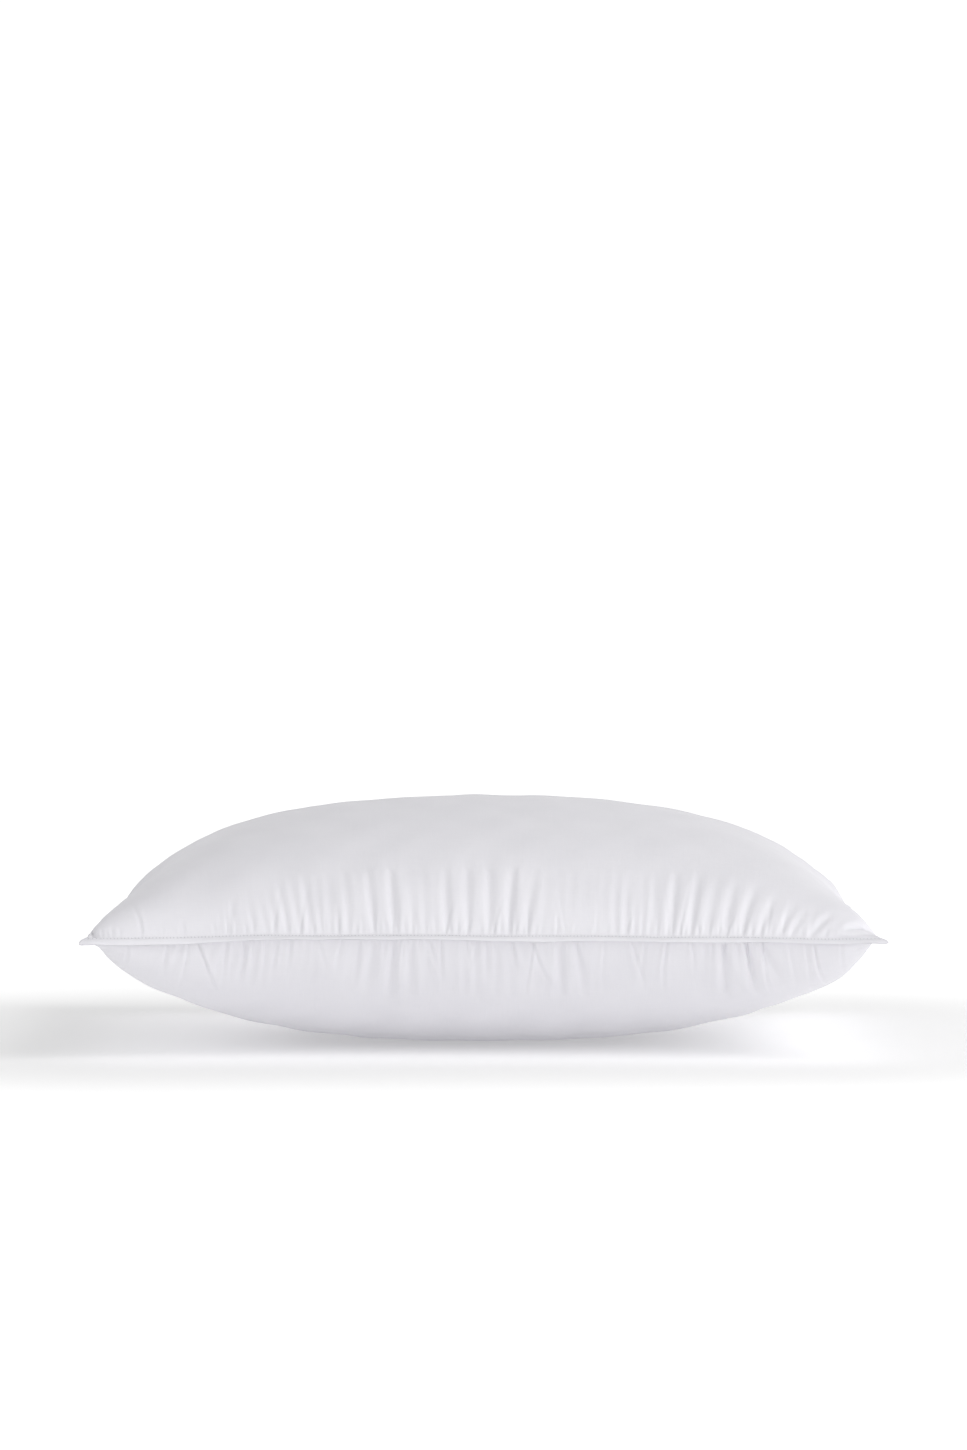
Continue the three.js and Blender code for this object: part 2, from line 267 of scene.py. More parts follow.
def settle(cloth, steps, pressure, on_floor, bending, roughness, squeeze, shear, load):
    """Lets one panel find its shape. pressure pushes along the cloth's own normals, as much as
    load says at each place. Threads hold their length, squeeze says how much they resist
    crumpling, and bending evens out what is sharper than the cloth's stiffness allows."""
    cloth = cloth.copy()
    nx, ny = cloth.shape[0] - 1, cloth.shape[1] - 1
    hx, hy = FLAT_LENGTH / nx, FLAT_WIDTH / ny
    diagonal = np.hypot(hx, hy)
    cloth[1:-1, 1:-1] += rng.normal(0, roughness, cloth[1:-1, 1:-1].shape)
    free = np.zeros(cloth.shape[:2] + (1,))
    free[1:-1, 1:-1] = 1
    before = cloth.copy()
    for _ in range(steps):
        before, cloth = cloth, cloth + (cloth - before) * MOMENTUM * free
        du, dv = np.zeros_like(cloth), np.zeros_like(cloth)
        du[1:-1] = cloth[2:] - cloth[:-2]
        dv[:, 1:-1] = cloth[:, 2:] - cloth[:, :-2]
        normal = np.cross(du, dv) / (4 * hx * hy)
        cloth += free * normal * pressure * load
        for o in (0, 1):
            a, b = cloth[o:-1:2], cloth[o + 1 :: 2]
            hold_length(a, b, free[o:-1:2], free[o + 1 :: 2], hx, 1.0, squeeze)
            a, b = cloth[:, o:-1:2], cloth[:, o + 1 :: 2]
            hold_length(a, b, free[:, o:-1:2], free[:, o + 1 :: 2], hy, 1.0, squeeze)
        for o in (0, 1):
            a, b = cloth[o:-1:2, :-1], cloth[o + 1 :: 2, 1:]
            hold_length(a, b, free[o:-1:2, :-1], free[o + 1 :: 2, 1:], diagonal, shear, shear)
            a, b = cloth[o:-1:2, 1:], cloth[o + 1 :: 2, :-1]
            hold_length(a, b, free[o:-1:2, 1:], free[o + 1 :: 2, :-1], diagonal, shear, shear)
        sharp = np.zeros_like(cloth)
        sharp[1:-1, 1:-1] = (
            0.25 * (cloth[2:, 1:-1] + cloth[:-2, 1:-1] + cloth[1:-1, 2:] + cloth[1:-1, :-2])
            - cloth[1:-1, 1:-1]
        )
        broad = sharp.copy()
        broad[1:-1, 1:-1] = 0.25 * (
            sharp[2:, 1:-1] + sharp[:-2, 1:-1] + sharp[1:-1, 2:] + sharp[1:-1, :-2]
        )
        cloth += free * bending * (sharp - broad)
        if on_floor:
            np.maximum(cloth[..., 2], 0.0, out=cloth[..., 2])
    return cloth


def halve_squares(cloth):
    """The same surface on a grid twice as fine."""

    def along(a):
        fine = np.empty((2 * a.shape[0] - 1,) + a.shape[1:])
        fine[::2] = a
        ends = np.concatenate([2 * a[:1] - a[1:2], a, 2 * a[-1:] - a[-2:-1]])
        fine[1::2] = (-ends[:-3] + 9 * ends[1:-2] + 9 * ends[2:-1] - ends[3:]) / 16
        return fine

    return np.swapaxes(along(np.swapaxes(along(cloth), 0, 1)), 0, 1)


def grid_noise(shape, knots_x, knots_y):
    """Smooth noise over a grid, about -1 to 1."""
    u = np.linspace(0, 1, shape[0])[:, None]
    v = np.linspace(0, 1, shape[1])[None, :]
    total = np.zeros(shape)
    for _ in range(12):
        fx, fy = rng.uniform(-knots_x, knots_x), rng.uniform(-knots_y, knots_y)
        total += np.cos(2 * np.pi * (fx * u + fy * v + rng.uniform(0, 1)))
    return total / 3.5


# one value for each level
STEPS = (200, 200, 250, 300)
PRESSURES = (3e-5, 8e-6, 2e-6, 5e-7)
ROUGHNESS = (0.0, 0.0, 5e-5, 1e-4)
BENDINGS = (0.1, 0.05, 0.02, 0.01)
SQUEEZE = (0.0, 0.0, 0.3, 1.0)  # on the coarse grids cloth may crumple below a square's size
SHEAR = 0.1
EDGE_PRESS, MIDDLE_PRESS = 1.5, 0.5
HALF_GAP = 0.00035  # half the distance between the panels at the foot


def blow_up(side):
    """One panel, settled on coarse squares first and then on finer ones."""
    cloth = first_guess(side)
    sign = 1.0 if side == "top" else -1.0
    for level in range(LEVELS):
        if level:
            cloth = halve_squares(cloth)
        pin_edge(cloth, side, HALF_GAP)
        # the filling is packed into the shoulders, and presses less on the middle
        full = fullness(cloth.shape[0] - 1, cloth.shape[1] - 1)[2]
        load = EDGE_PRESS + (MIDDLE_PRESS - EDGE_PRESS) * full**2
        cloth = settle(
            cloth,
            STEPS[level],
            sign * PRESSURES[level],
            side == "bottom",
            BENDINGS[level],
            ROUGHNESS[level],
            SQUEEZE[level],
            SHEAR,
            load[..., None],
        )
    return cloth


pocket_top, pocket_bottom = blow_up("top"), blow_up("bottom")


# ---- meshes ----
def new_piece(name, points, faces, uv=None, edge_uv=None):
    """A mesh object. faces is a list of index arrays, one for each number of corners."""
    mesh = bpy.data.meshes.new(name)
    points = np.asarray(points, np.float32)
    loops = np.concatenate([group.ravel() for group in faces])
    sizes = np.concatenate([np.full(len(group), group.shape[1]) for group in faces])
    mesh.vertices.add(len(points))
    mesh.vertices.foreach_set("co", points.ravel())
    mesh.loops.add(len(loops))
    mesh.loops.foreach_set("vertex_index", loops.astype(np.int32))
    mesh.polygons.add(len(sizes))
    starts = np.concatenate([[0], np.cumsum(sizes)[:-1]])
    mesh.polygons.foreach_set("loop_start", starts.astype(np.int32))
    mesh.update(calc_edges=True)
    mesh.validate()
    mesh.polygons.foreach_set("use_smooth", np.ones(len(sizes), bool))
    for layer_name, values in (("flat", uv), ("edge", edge_uv)):
        if values is not None:
            layer = mesh.uv_layers.new(name=layer_name)
            layer.uv.foreach_set("vector", np.asarray(values, np.float32)[loops].ravel())
    piece = bpy.data.objects.new(name, mesh)
    bpy.context.scene.collection.objects.link(piece)
    return piece


# one ply of the flange, from its foot: distance out and half-thickness, in mm. The cloth
# is pinched at the stitch row, bulges over the allowance inside it, rounds off to the edge
# seam, and turns in under itself.
PLY = np.array(
    [
        (0.45, 0.31),
        (0.95, 0.26),
        (1.45, 0.32),
        (2.2, 0.62),
        (3.4, 0.86),
        (4.7, 0.90),
        (5.6, 0.78),
        (6.2, 0.50),
        (6.5, 0.20),
        (6.15, 0.12),
        (4.9, 0.26),
        (2.4, 0.26),
    ]
) * 0.001


ALLOWANCE_VARIES = 0.13  # how unevenly the turned-in allowance fills the edge
OUTER_FACE = 0.0005  # cloth higher than this above the flange's middle lies over the allowance
ROOM_START, ROOM_LENGTH = 0.0015, 0.003  # the room for the label: where it begins, and opens


def along_sides(grid):
    """Views of a grid over the pocket, one for each side: along the seam, then in from it."""
    return [grid, grid[::-1].swapaxes(0, 1), grid[::-1, ::-1], grid[:, ::-1].swapaxes(0, 1)]


NARROW_ROWS = 28  # rows of narrow faces beside the seam, where the creases are
WIDE = 4  # grid squares along one face of the smooth middle


def pocket_faces(index):
    """Faces of the pocket on its grid: narrow beside the seam, wide over the middle."""
    faces = []
    for row in range(0, 2 * NARROW_ROWS, 2):
        for view in along_sides(index):
            k = np.arange(row + 2, view.shape[0] - 1 - row - 2)
            a, b = view[:, row], view[:, row + 2]
            faces.append(np.stack([a[k], a[k + 1], b[k + 1], b[k]], -1))
            corner = [(0, 0), (1, 0), (2, 0), (2, 2), (0, 2), (0, 1)]
            faces.append(np.array([[view[row + p, row + q] for p, q in corner]]))
    rim = 2 * NARROW_ROWS
    middle = index[rim : index.shape[0] - rim, rim : index.shape[1] - rim]
    coarse = middle[::WIDE, ::WIDE]
    faces.append(
        np.stack(
            [coarse[1:-2, 1:-2], coarse[2:-1, 1:-2], coarse[2:-1, 2:-1], coarse[1:-2, 2:-1]], -1
        ).reshape(-1, 4)
    )
    # the outermost wide faces keep every grid point on the side that meets the narrow ones
    for view in along_sides(middle):
        k = np.arange(WIDE, view.shape[0] - 1 - WIDE, WIDE)
        edge = [view[k + step, 0] for step in range(WIDE + 1)]
        faces.append(np.stack(edge + [view[k + WIDE, WIDE], view[k, WIDE]], -1))
        corner = [(step, 0) for step in range(WIDE + 1)] + [(WIDE, WIDE)]
        corner += [(0, step) for step in range(WIDE, 0, -1)]
        faces.append(np.array([[view[p, q] for p, q in corner]]))
    return faces


def outward_normals(cloth, sign):
    """Unit normals of a panel's grid, away from the filling."""
    du, dv = np.gradient(cloth, axis=0), np.gradient(cloth, axis=1)
    return sign * unit(np.cross(du, dv))


# creases: mean spacing, length, depth and half-width, each as a range
CREASES = {
    "top": (
        (0.0085, (0.005, 0.018), (0.00020, 0.00050), (0.0014, 0.0022)),
        (0.022, (0.018, 0.055), (0.0003, 0.0009), (0.0018, 0.0030)),
    ),
    "bottom": (
        (0.0085, (0.006, 0.018), (0.00020, 0.00055), (0.0014, 0.0022)),
        (0.016, (0.028, 0.082), (0.0006, 0.0014), (0.0018, 0.0032)),
    ),
}


# extra filling in the corners: its depth, how far it reaches, and how far in it starts
CORNER_FILL = {"top": (0.006, 0.05, 0.030), "bottom": (0.009, 0.11, 0.055)}


def smooth_step(x):
    x = np.clip(x, 0, 1)
    return x * x * (3 - 2 * x)


LUMPS = 0.0004  # height of the gentle unevenness of the filling under the cloth
CREASE_REACH = 0.090  # of the longest crease, in from the seam
CREASE_START = 0.0035  # over which a crease deepens from the seam
CREASE_LEAN, CREASE_SWAY = 0.12, 0.1  # spread of a crease's slant, and of its bend
CORNER_CLEAR, CORNER_FADE = 0.012, 0.03  # no creases beside a corner, then shallow ones


def relief(shape, side):
    """How far the cloth stands out at each point of a panel's grid: the lumps in the filling,
    the fuller corners, and the fine creases that run in from the seam."""
    u, v, full = fullness(shape[0] - 1, shape[1] - 1)
    height = LUMPS * grid_noise(shape, 14, 11) * smooth_step(full / 0.5)
    from_end, from_long = (1 - np.abs(u)) * FLAT_LENGTH / 2, (1 - np.abs(v)) * FLAT_WIDTH / 2
    rise, far, ramp = CORNER_FILL[side]
    rise = rise * (1 + 0.2 * u) * np.exp(-(from_end**2 + from_long**2) / far**2)
    height += rise * smooth_step(np.minimum(from_end, from_long) / ramp)
    for k, view in enumerate(along_sides(height)):
        squares = view.shape[0] - 1
        s = np.arange(squares + 1) / squares * SIDES[k]
        inward = FLAT_WIDTH / (shape[1] - 1) if k % 2 == 0 else FLAT_LENGTH / (shape[0] - 1)
        reach = int(CREASE_REACH / inward)
        d = np.arange(reach) * inward
        s, d = s[:, None], d[None, :]
        start = smooth_step(d / CREASE_START)
        for spacing, lengths, depths, widths in CREASES[side]:
            for n in range(int(SIDES[k] / spacing)):
                at = (n + rng.uniform(0, 1)) * spacing
                length, depth = rng.uniform(*lengths), rng.uniform(*depths)
                width = rng.uniform(*widths)
                lean, sway = rng.normal(0, CREASE_LEAN), rng.normal(0, CREASE_SWAY)
                facing = rng.choice([-1.0, 1.0])
                from_corner = min(at, SIDES[k] - at)
                depth *= smooth_step((from_corner - CORNER_CLEAR) / CORNER_FADE)
                along = d / length
                x = (s - at - (lean + sway * along) * d) * facing / (width * (0.7 + 0.7 * along))
                # a groove with a ridge on one side of it
                profile = 0.55 * np.exp(-(((x - 1.2) / 0.9) ** 2)) - np.exp(-((x / 0.6) ** 2))
                view[:, :reach] += depth * profile * start * (1 - smooth_step(along))
    return height


def panel(name, side, pocket):
    """One cotton panel: its pocket half, and its ply of the flange, as a single layer of cloth."""
    sign = 1.0 if side == "top" else -1.0
    pocket = halve_squares(pocket)
    pin_edge(pocket, side, HALF_GAP)
    pocket = pocket + outward_normals(pocket, sign) * relief(pocket.shape[:2], side)[..., None]
    if side == "bottom":
        np.maximum(pocket[..., 2], 0.0, out=pocket[..., 2])
    nx, ny = pocket.shape[0] - 1, pocket.shape[1] - 1
    index = np.arange((nx + 1) * (ny + 1)).reshape(nx + 1, ny + 1)
    u = np.broadcast_to(np.linspace(-0.5, 0.5, nx + 1)[:, None] * FLAT_LENGTH, index.shape)
    v = np.broadcast_to(np.linspace(-0.5, 0.5, ny + 1)[None, :] * FLAT_WIDTH, index.shape)
    points = [pocket.reshape(-1, 3)]
    flat = [np.stack([u, v], -1).reshape(-1, 2)]
    edge = [np.tile([0.0, -1.0], (index.size, 1))]
    faces = pocket_faces(index)
    i, j, fine_s = edge_of_grid(nx, ny)
    foot = index[i, j]
    count = len(foot)
    sewn_s = gathered(fine_s, side)
    edge[0][foot] = np.stack([sewn_s, np.zeros_like(sewn_s)], -1)
    fine_flat = flat[0][foot]
    outward = seam_frame(fine_s)[1][:, :2]
    bulk = 1 + ALLOWANCE_VARIES * bulk_noise(fine_s)
    from_label = np.abs(np.mod(sewn_s, ROUND) - LABEL_S)
    room = LABEL_ROOM * np.clip((LABEL_ROOM_HALF - from_label) / ROOM_RAMP, 0, 1)
    rows = [foot]
    flat_out = 0.0
    last = np.array([0.0, HALF_GAP])
    for across, high in PLY:
        flat_out += np.hypot(across - last[0], high - last[1])
        last = np.array([across, high])
        beyond = np.clip((across - ROOM_START) / ROOM_LENGTH, 0, 1)
        height = sign * (high * np.where(high > OUTER_FACE, bulk, 1.0) + room * beyond)
        rows.append(index.size + (len(rows) - 1) * count + np.arange(count))
        points.append(flange_point(sewn_s, np.full_like(sewn_s, across), height))
        flat.append(fine_flat + outward * flat_out)
        edge.append(np.stack([sewn_s, np.full_like(sewn_s, across)], -1))
    for a, b in zip(rows[:-1], rows[1:]):
        faces.append(np.stack([a, b, np.roll(b, -1), np.roll(a, -1)], -1))
    used, renumbered = np.unique(np.concatenate([f.ravel() for f in faces]), return_inverse=True)
    cuts = np.cumsum([f.size for f in faces])[:-1]
    faces = [part.reshape(f.shape) for part, f in zip(np.split(renumbered.ravel(), cuts), faces)]
    if side == "bottom":
        faces = [f[:, ::-1] for f in faces]
    return new_piece(
        name,
        np.concatenate(points)[used],
        faces,
        np.concatenate(flat)[used],
        np.concatenate(edge)[used],
    )


top_panel = panel("pillow_top_panel", "top", pocket_top)
bottom_panel = panel("pillow_bottom_panel", "bottom", pocket_bottom)


def tube(name, path, up, radius, sides=6, closed=True):
    """A thread along a path. up says which way the thread's own upper side faces."""
    if closed:
        along = unit(np.roll(path, -1, axis=0) - np.roll(path, 1, axis=0))
    else:
        along = unit(np.gradient(path, axis=0))
    across = unit(np.cross(along, up))
    up = np.cross(across, along)
    turn = np.linspace(0, 2 * np.pi, sides, endpoint=False)
    rings = path[:, None] + radius * (
        np.cos(turn)[None, :, None] * up[:, None] + np.sin(turn)[None, :, None] * across[:, None]
    )
    count = len(path)
    index = np.arange(count * sides).reshape(count, sides)
    a = index if closed else index[:-1]
    b = np.roll(index, -1, axis=0) if closed else index[1:]
    faces = [np.stack([a, b, np.roll(b, -1, axis=1), np.roll(a, -1, axis=1)], -1).reshape(-1, 4)]
    points = rings.reshape(-1, 3)
    if not closed:
        points = np.concatenate([points, path[:1], path[-1:]])
        start, end = count * sides, count * sides + 1
        faces += [
            np.stack([np.full(sides, start), index[0], np.roll(index[0], -1)], -1),
            np.stack([np.full(sides, end), np.roll(index[-1], -1), index[-1]], -1),
        ]
    length = np.concatenate([[0], np.cumsum(np.linalg.norm(np.diff(path, axis=0), axis=1))])
    uv = np.stack([np.repeat(length, sides), np.tile(turn / (2 * np.pi), count)], -1)
    if not closed:
        uv = np.concatenate([uv, [[0, 0], [length[-1], 0]]])
    return new_piece(name, points, faces, uv)


STITCH_POINTS = 8  # along each stitch
RISE_SHARE = 0.26  # of a stitch, over which the thread comes up out of its hole
TIGHT, SLACK = 0.45, 0.55  # share of the thread's thickness in the hole, and what it gains
STITCH_SLANT = 0.00012  # of each stitch to its row, at its ends


def stitch_row(name, side):
    """A lockstitch thread: it lies on the cloth, and dips through at every needle hole."""
    sign = 1.0 if side == "top" else -1.0
    phase = np.tile(np.arange(STITCH_POINTS) / STITCH_POINTS, STITCHES)
    s = (np.repeat(np.arange(STITCHES), STITCH_POINTS) + phase) * ROUND / STITCHES
    from_hole = np.minimum(phase, 1 - phase)
    lifted = smooth_step(from_hole / RISE_SHARE)
    high = sign * (STITCH_LOW + (STITCH_HIGH - STITCH_LOW) * lifted)
    radius = STITCH_RADIUS * (TIGHT + SLACK * lifted)  # drawn tight where it dips into the hole
    across = STITCH_ROW + STITCH_SLANT * (phase - 0.5) * 2 * sign
    path = flange_point(s, across, high)
    face = flange_point(s, across, high + 0.001) - path
    return tube(name, path, unit(face), radius[:, None, None])


needle_row = stitch_row("pillow_topstitch_needle_thread", "top")
bobbin_row = stitch_row("pillow_topstitch_bobbin_thread", "bottom")


SEAM_STEP = 0.0015


def hidden_seam(name, start, end):
    """The seam inside the flange's edge, from start to end along it."""
    count = int((end - start) / SEAM_STEP)
    s = np.linspace(start, end, count)
    across = np.full(count, FLANGE_WIDTH - SEAM_INSET)
    path = flange_point(s, across, np.zeros(count))
    face = flange_point(s, across, np.full(count, 0.001)) - path
    return tube(name, path, unit(face), SEAM_RADIUS, closed=False)


opening_middle = STARTS[2] + FOOT_LENGTH / 2
thread_end = SEAM_RADIUS + OPENING_GAP
edge_seam = hidden_seam(
    "pillow_edge_seam_thread",
    opening_middle + OPENING / 2 + thread_end,
    opening_middle - OPENING / 2 - thread_end + ROUND,
)
closing_seam = hidden_seam(
    "pillow_closing_seam_thread", opening_middle - OPENING / 2, opening_middle + OPENING / 2
)


LABEL_COLUMNS, LABEL_ROWS = 13, 34
LABEL_SPARE = 0.004  # length that the bend at the edge and the sway take up
LABEL_BEND = 0.0045  # length over which it turns from the flange's way to straight down
LABEL_SWAY, LABEL_TWIST = 0.10, 0.05  # how far it hangs out of the vertical, and unevenly so


def label_middle():
    """The middle of the folded label, as lines from the edge it is caught in down to its fold,
    one for each column across it, and the way its face looks at each point."""
    columns, rows = LABEL_COLUMNS, LABEL_ROWS
    s = np.linspace(LABEL_S - LABEL_WIDTH / 2, LABEL_S + LABEL_WIDTH / 2, columns)
    place = flange_point(s, np.full(columns, FLANGE_WIDTH - LABEL_CATCH), np.zeros(columns))
    mouth = flange_point(s, np.full(columns, FLANGE_WIDTH + 0.0002), np.zeros(columns))
    exit_way = unit(mouth - place)
    ends = flange_point(
        np.array([LABEL_S - 0.01, LABEL_S + 0.01]), np.full(2, FLANGE_WIDTH), np.zeros(2)
    )
    side_way = unit(ends[1] - ends[0])
    middle = columns // 2
    outward = unit(exit_way[middle] * [1, 1, 0])
    down = np.array([0.0, 0.0, -1.0])
    length = SEAM_HEIGHT - label_box[0].z + LABEL_SPARE
    share = np.linspace(0, 1, rows)
    bent = smooth_step((share * length - LABEL_CATCH) / LABEL_BEND)
    lines, faces = [], []
    for k in range(columns):
        x = (k - middle) / middle
        point = place[k].copy()
        line, face = [], []
        for n in range(rows):
            sway = LABEL_SWAY * np.sin(2.6 * share[n] + 0.5)
            sway += LABEL_TWIST * x * np.sin(4 * share[n])
            way = unit(exit_way[k] * (1 - bent[n]) + (down + outward * sway) * bent[n])
            line.append(point)
            face.append(unit(np.cross(side_way, way)))
            point = point + way * length / (rows - 1)
        lines.append(line)
        faces.append(face)
    return np.array(lines), np.array(faces)


def folded_tape(name, lines, faces, gap, thickness):
    """Closed mesh of a tape that runs down one side of lines, folds, and runs up the other."""
    outer = lines + faces * gap
    inner = (lines - faces * gap)[:, ::-1]
    end_way = unit(lines[:, -1] - lines[:, -2])
    fold = []
    fold_face = []
    for angle in np.linspace(0, np.pi, 7)[1:-1]:
        fold.append(
            lines[:, -1]
            + faces[:, -1] * gap * np.cos(angle)
            + end_way * gap * np.sin(angle)
        )
        fold_face.append(faces[:, -1] * np.cos(angle) + end_way * np.sin(angle))
    fold, fold_face = np.stack(fold, 1), np.stack(fold_face, 1)
    middle = np.concatenate([outer, fold, inner], 1)
    normal = np.concatenate([faces, fold_face, -faces[:, ::-1]], 1)
    front = middle + normal * thickness / 2
    back = middle - normal * thickness / 2
    nx, ny = middle.shape[:2]
    index = np.arange(nx * ny).reshape(nx, ny)
    over = nx * ny

    def patch(a):
        return np.stack([a[:-1, :-1], a[1:, :-1], a[1:, 1:], a[:-1, 1:]], -1).reshape(-1, 4)

    rim = np.concatenate([index[:, 0], index[-1, 1:], index[-2::-1, -1], index[0, -2:0:-1]])
    after = np.roll(rim, -1)
    quads = np.concatenate(
        [
            patch(index),
            patch(index)[:, ::-1] + over,
            np.stack([rim, rim + over, after + over, after], -1),
        ]
    )
    step = np.linalg.norm(np.diff(middle, axis=1), axis=2).mean(0)
    v = np.concatenate([[0], np.cumsum(step)])
    u = np.linspace(0, LABEL_WIDTH, nx)
    uv = np.stack(np.meshgrid(u, v, indexing="ij"), -1).reshape(-1, 2)
    points = np.concatenate([front.reshape(-1, 3), back.reshape(-1, 3)])
    return new_piece(name, points, [quads], np.concatenate([uv, uv])), v[-1]


label, label_length = folded_tape(
    "pillow_care_label", *label_middle(), TAPE_HALF_GAP, TAPE_THICKNESS
)


FILLING_CLEARANCE = 0.007  # filling to each panel
FILLING_SKIP = 4  # squares of the cloth's grid along one of the filling's
FILLING_INSET = 4  # squares of its own grid that it stays in from the seam
FILLING_RIM = 0.3  # how far its rim bulges, as a share of its half-thickness there


def filling_body(name, top, bottom):
    """The loose filling as one plump body, a little inside both panels."""
    top, bottom = (half[::FILLING_SKIP, ::FILLING_SKIP] for half in (top, bottom))

    def calm(cloth):
        """The cloth without its creases."""
        soft = cloth.copy()
        for _ in range(3):
            soft[1:-1, 1:-1] = (
                soft[1:-1, 1:-1] * 0.5
                + 0.125 * (soft[2:, 1:-1] + soft[:-2, 1:-1] + soft[1:-1, 2:] + soft[1:-1, :-2])
            )
        return soft

    top, bottom = calm(top), calm(bottom)
    middle, half = (top + bottom) / 2, (top - bottom) / 2
    thick = np.linalg.norm(half, axis=-1, keepdims=True)
    half = half * np.maximum(0.0, 1 - FILLING_CLEARANCE / np.maximum(thick, 1e-9))
    keep = (slice(FILLING_INSET, -FILLING_INSET), slice(FILLING_INSET, -FILLING_INSET))
    middle, half = middle[keep], half[keep]
    nx, ny = middle.shape[0] - 1, middle.shape[1] - 1
    index = np.arange((nx + 1) * (ny + 1)).reshape(nx + 1, ny + 1)
    upper, lower = middle + half, middle - half
    over = index.size
    patch = np.stack(
        [index[:-1, :-1], index[1:, :-1], index[1:, 1:], index[:-1, 1:]], -1
    ).reshape(-1, 4)
    i, j, s = edge_of_grid(nx, ny)
    foot = index[i, j]
    outward = seam_frame(s)[1]
    rim_middle, rim_half = middle[i, j], half[i, j]
    points = [upper.reshape(-1, 3), lower.reshape(-1, 3)]
    quads = [patch, patch[:, ::-1] + over]
    rows = [foot]
    reach = np.linalg.norm(rim_half, axis=-1, keepdims=True) * FILLING_RIM
    for angle in np.radians([60, 30, 0, -30, -60]):
        rows.append(len(np.concatenate(points)) + np.arange(len(foot)))
        points.append(
            rim_middle + rim_half * np.sin(angle) + outward * reach * np.cos(angle)
        )
    rows.append(foot + over)
    for a, b in zip(rows[:-1], rows[1:]):
        quads.append(np.stack([a, b, np.roll(b, -1), np.roll(a, -1)], -1))
    return new_piece(name, np.concatenate(points), quads)


filling = filling_body("pillow_filling", pocket_top, pocket_bottom)


# ---- materials ----
def material(name, base, roughness, **sockets):
    m = bpy.data.materials.new(name)
    m.use_nodes = True
    shader = m.node_tree.nodes["Principled BSDF"]
    shader.inputs["Base Color"].default_value = (*base, 1)
    shader.inputs["Roughness"].default_value = roughness
    for socket, value in sockets.items():
        shader.inputs[socket.replace("_", " ")].default_value = value
    return m, m.node_tree.nodes, m.node_tree.links, shader


def math_node(nodes, links, operation, a, b=None, clamp=False):
    node = nodes.new("ShaderNodeMath")
    node.operation = operation
    node.use_clamp = clamp
    for socket, value in zip(node.inputs, (a, b)):
        if isinstance(value, bpy.types.NodeSocket):
            links.new(value, socket)
        elif value is not None:
            socket.default_value = value
    return node.outputs[0]


def uv_axes(nodes, links, layer):
    uv = nodes.new("ShaderNodeUVMap")
    uv.uv_map = layer
    split = nodes.new("ShaderNodeSeparateXYZ")
    links.new(uv.outputs[0], split.inputs[0])
    return uv.outputs[0], split.outputs[0], split.outputs[1]


def noise(nodes, links, vector, scale, stretch=(1, 1, 1), detail=2.0):
    mapping = nodes.new("ShaderNodeMapping")
    mapping.inputs["Scale"].default_value = stretch
    links.new(vector, mapping.inputs["Vector"])
    texture = nodes.new("ShaderNodeTexNoise")
    texture.inputs["Scale"].default_value = scale
    texture.inputs["Detail"].default_value = detail
    links.new(mapping.outputs[0], texture.inputs["Vector"])
    return texture.outputs["Fac"]


def colour_between(nodes, links, factor, dark, light):
    ramp = nodes.new("ShaderNodeValToRGB")
    ramp.color_ramp.elements[0].position, ramp.color_ramp.elements[1].position = 0.3, 0.7
    ramp.color_ramp.elements[0].color = (*dark, 1)
    ramp.color_ramp.elements[1].color = (*light, 1)
    links.new(factor, ramp.inputs[0])
    return ramp.outputs[0]


def bump(nodes, links, height, strength, distance, under=None):
    node = nodes.new("ShaderNodeBump")
    node.inputs["Strength"].default_value = strength
    node.inputs["Distance"].default_value = distance
    links.new(height, node.inputs["Height"])
    if under is not None:
        links.new(under, node.inputs["Normal"])
    return node.outputs[0]


DIMPLE_AND_SHADE_REACH = 0.0011  # of the needle holes' dimples and their painted shade, to each side of the row
YARN_PITCH = 0.00052  # of the cotton, over two yarns
TWIST_PITCH = 0.0006  # of the sewing thread's strands
RIB_PITCH = 0.00035  # of the label's satin
SELVEDGE = 0.0012  # along both sides of the label


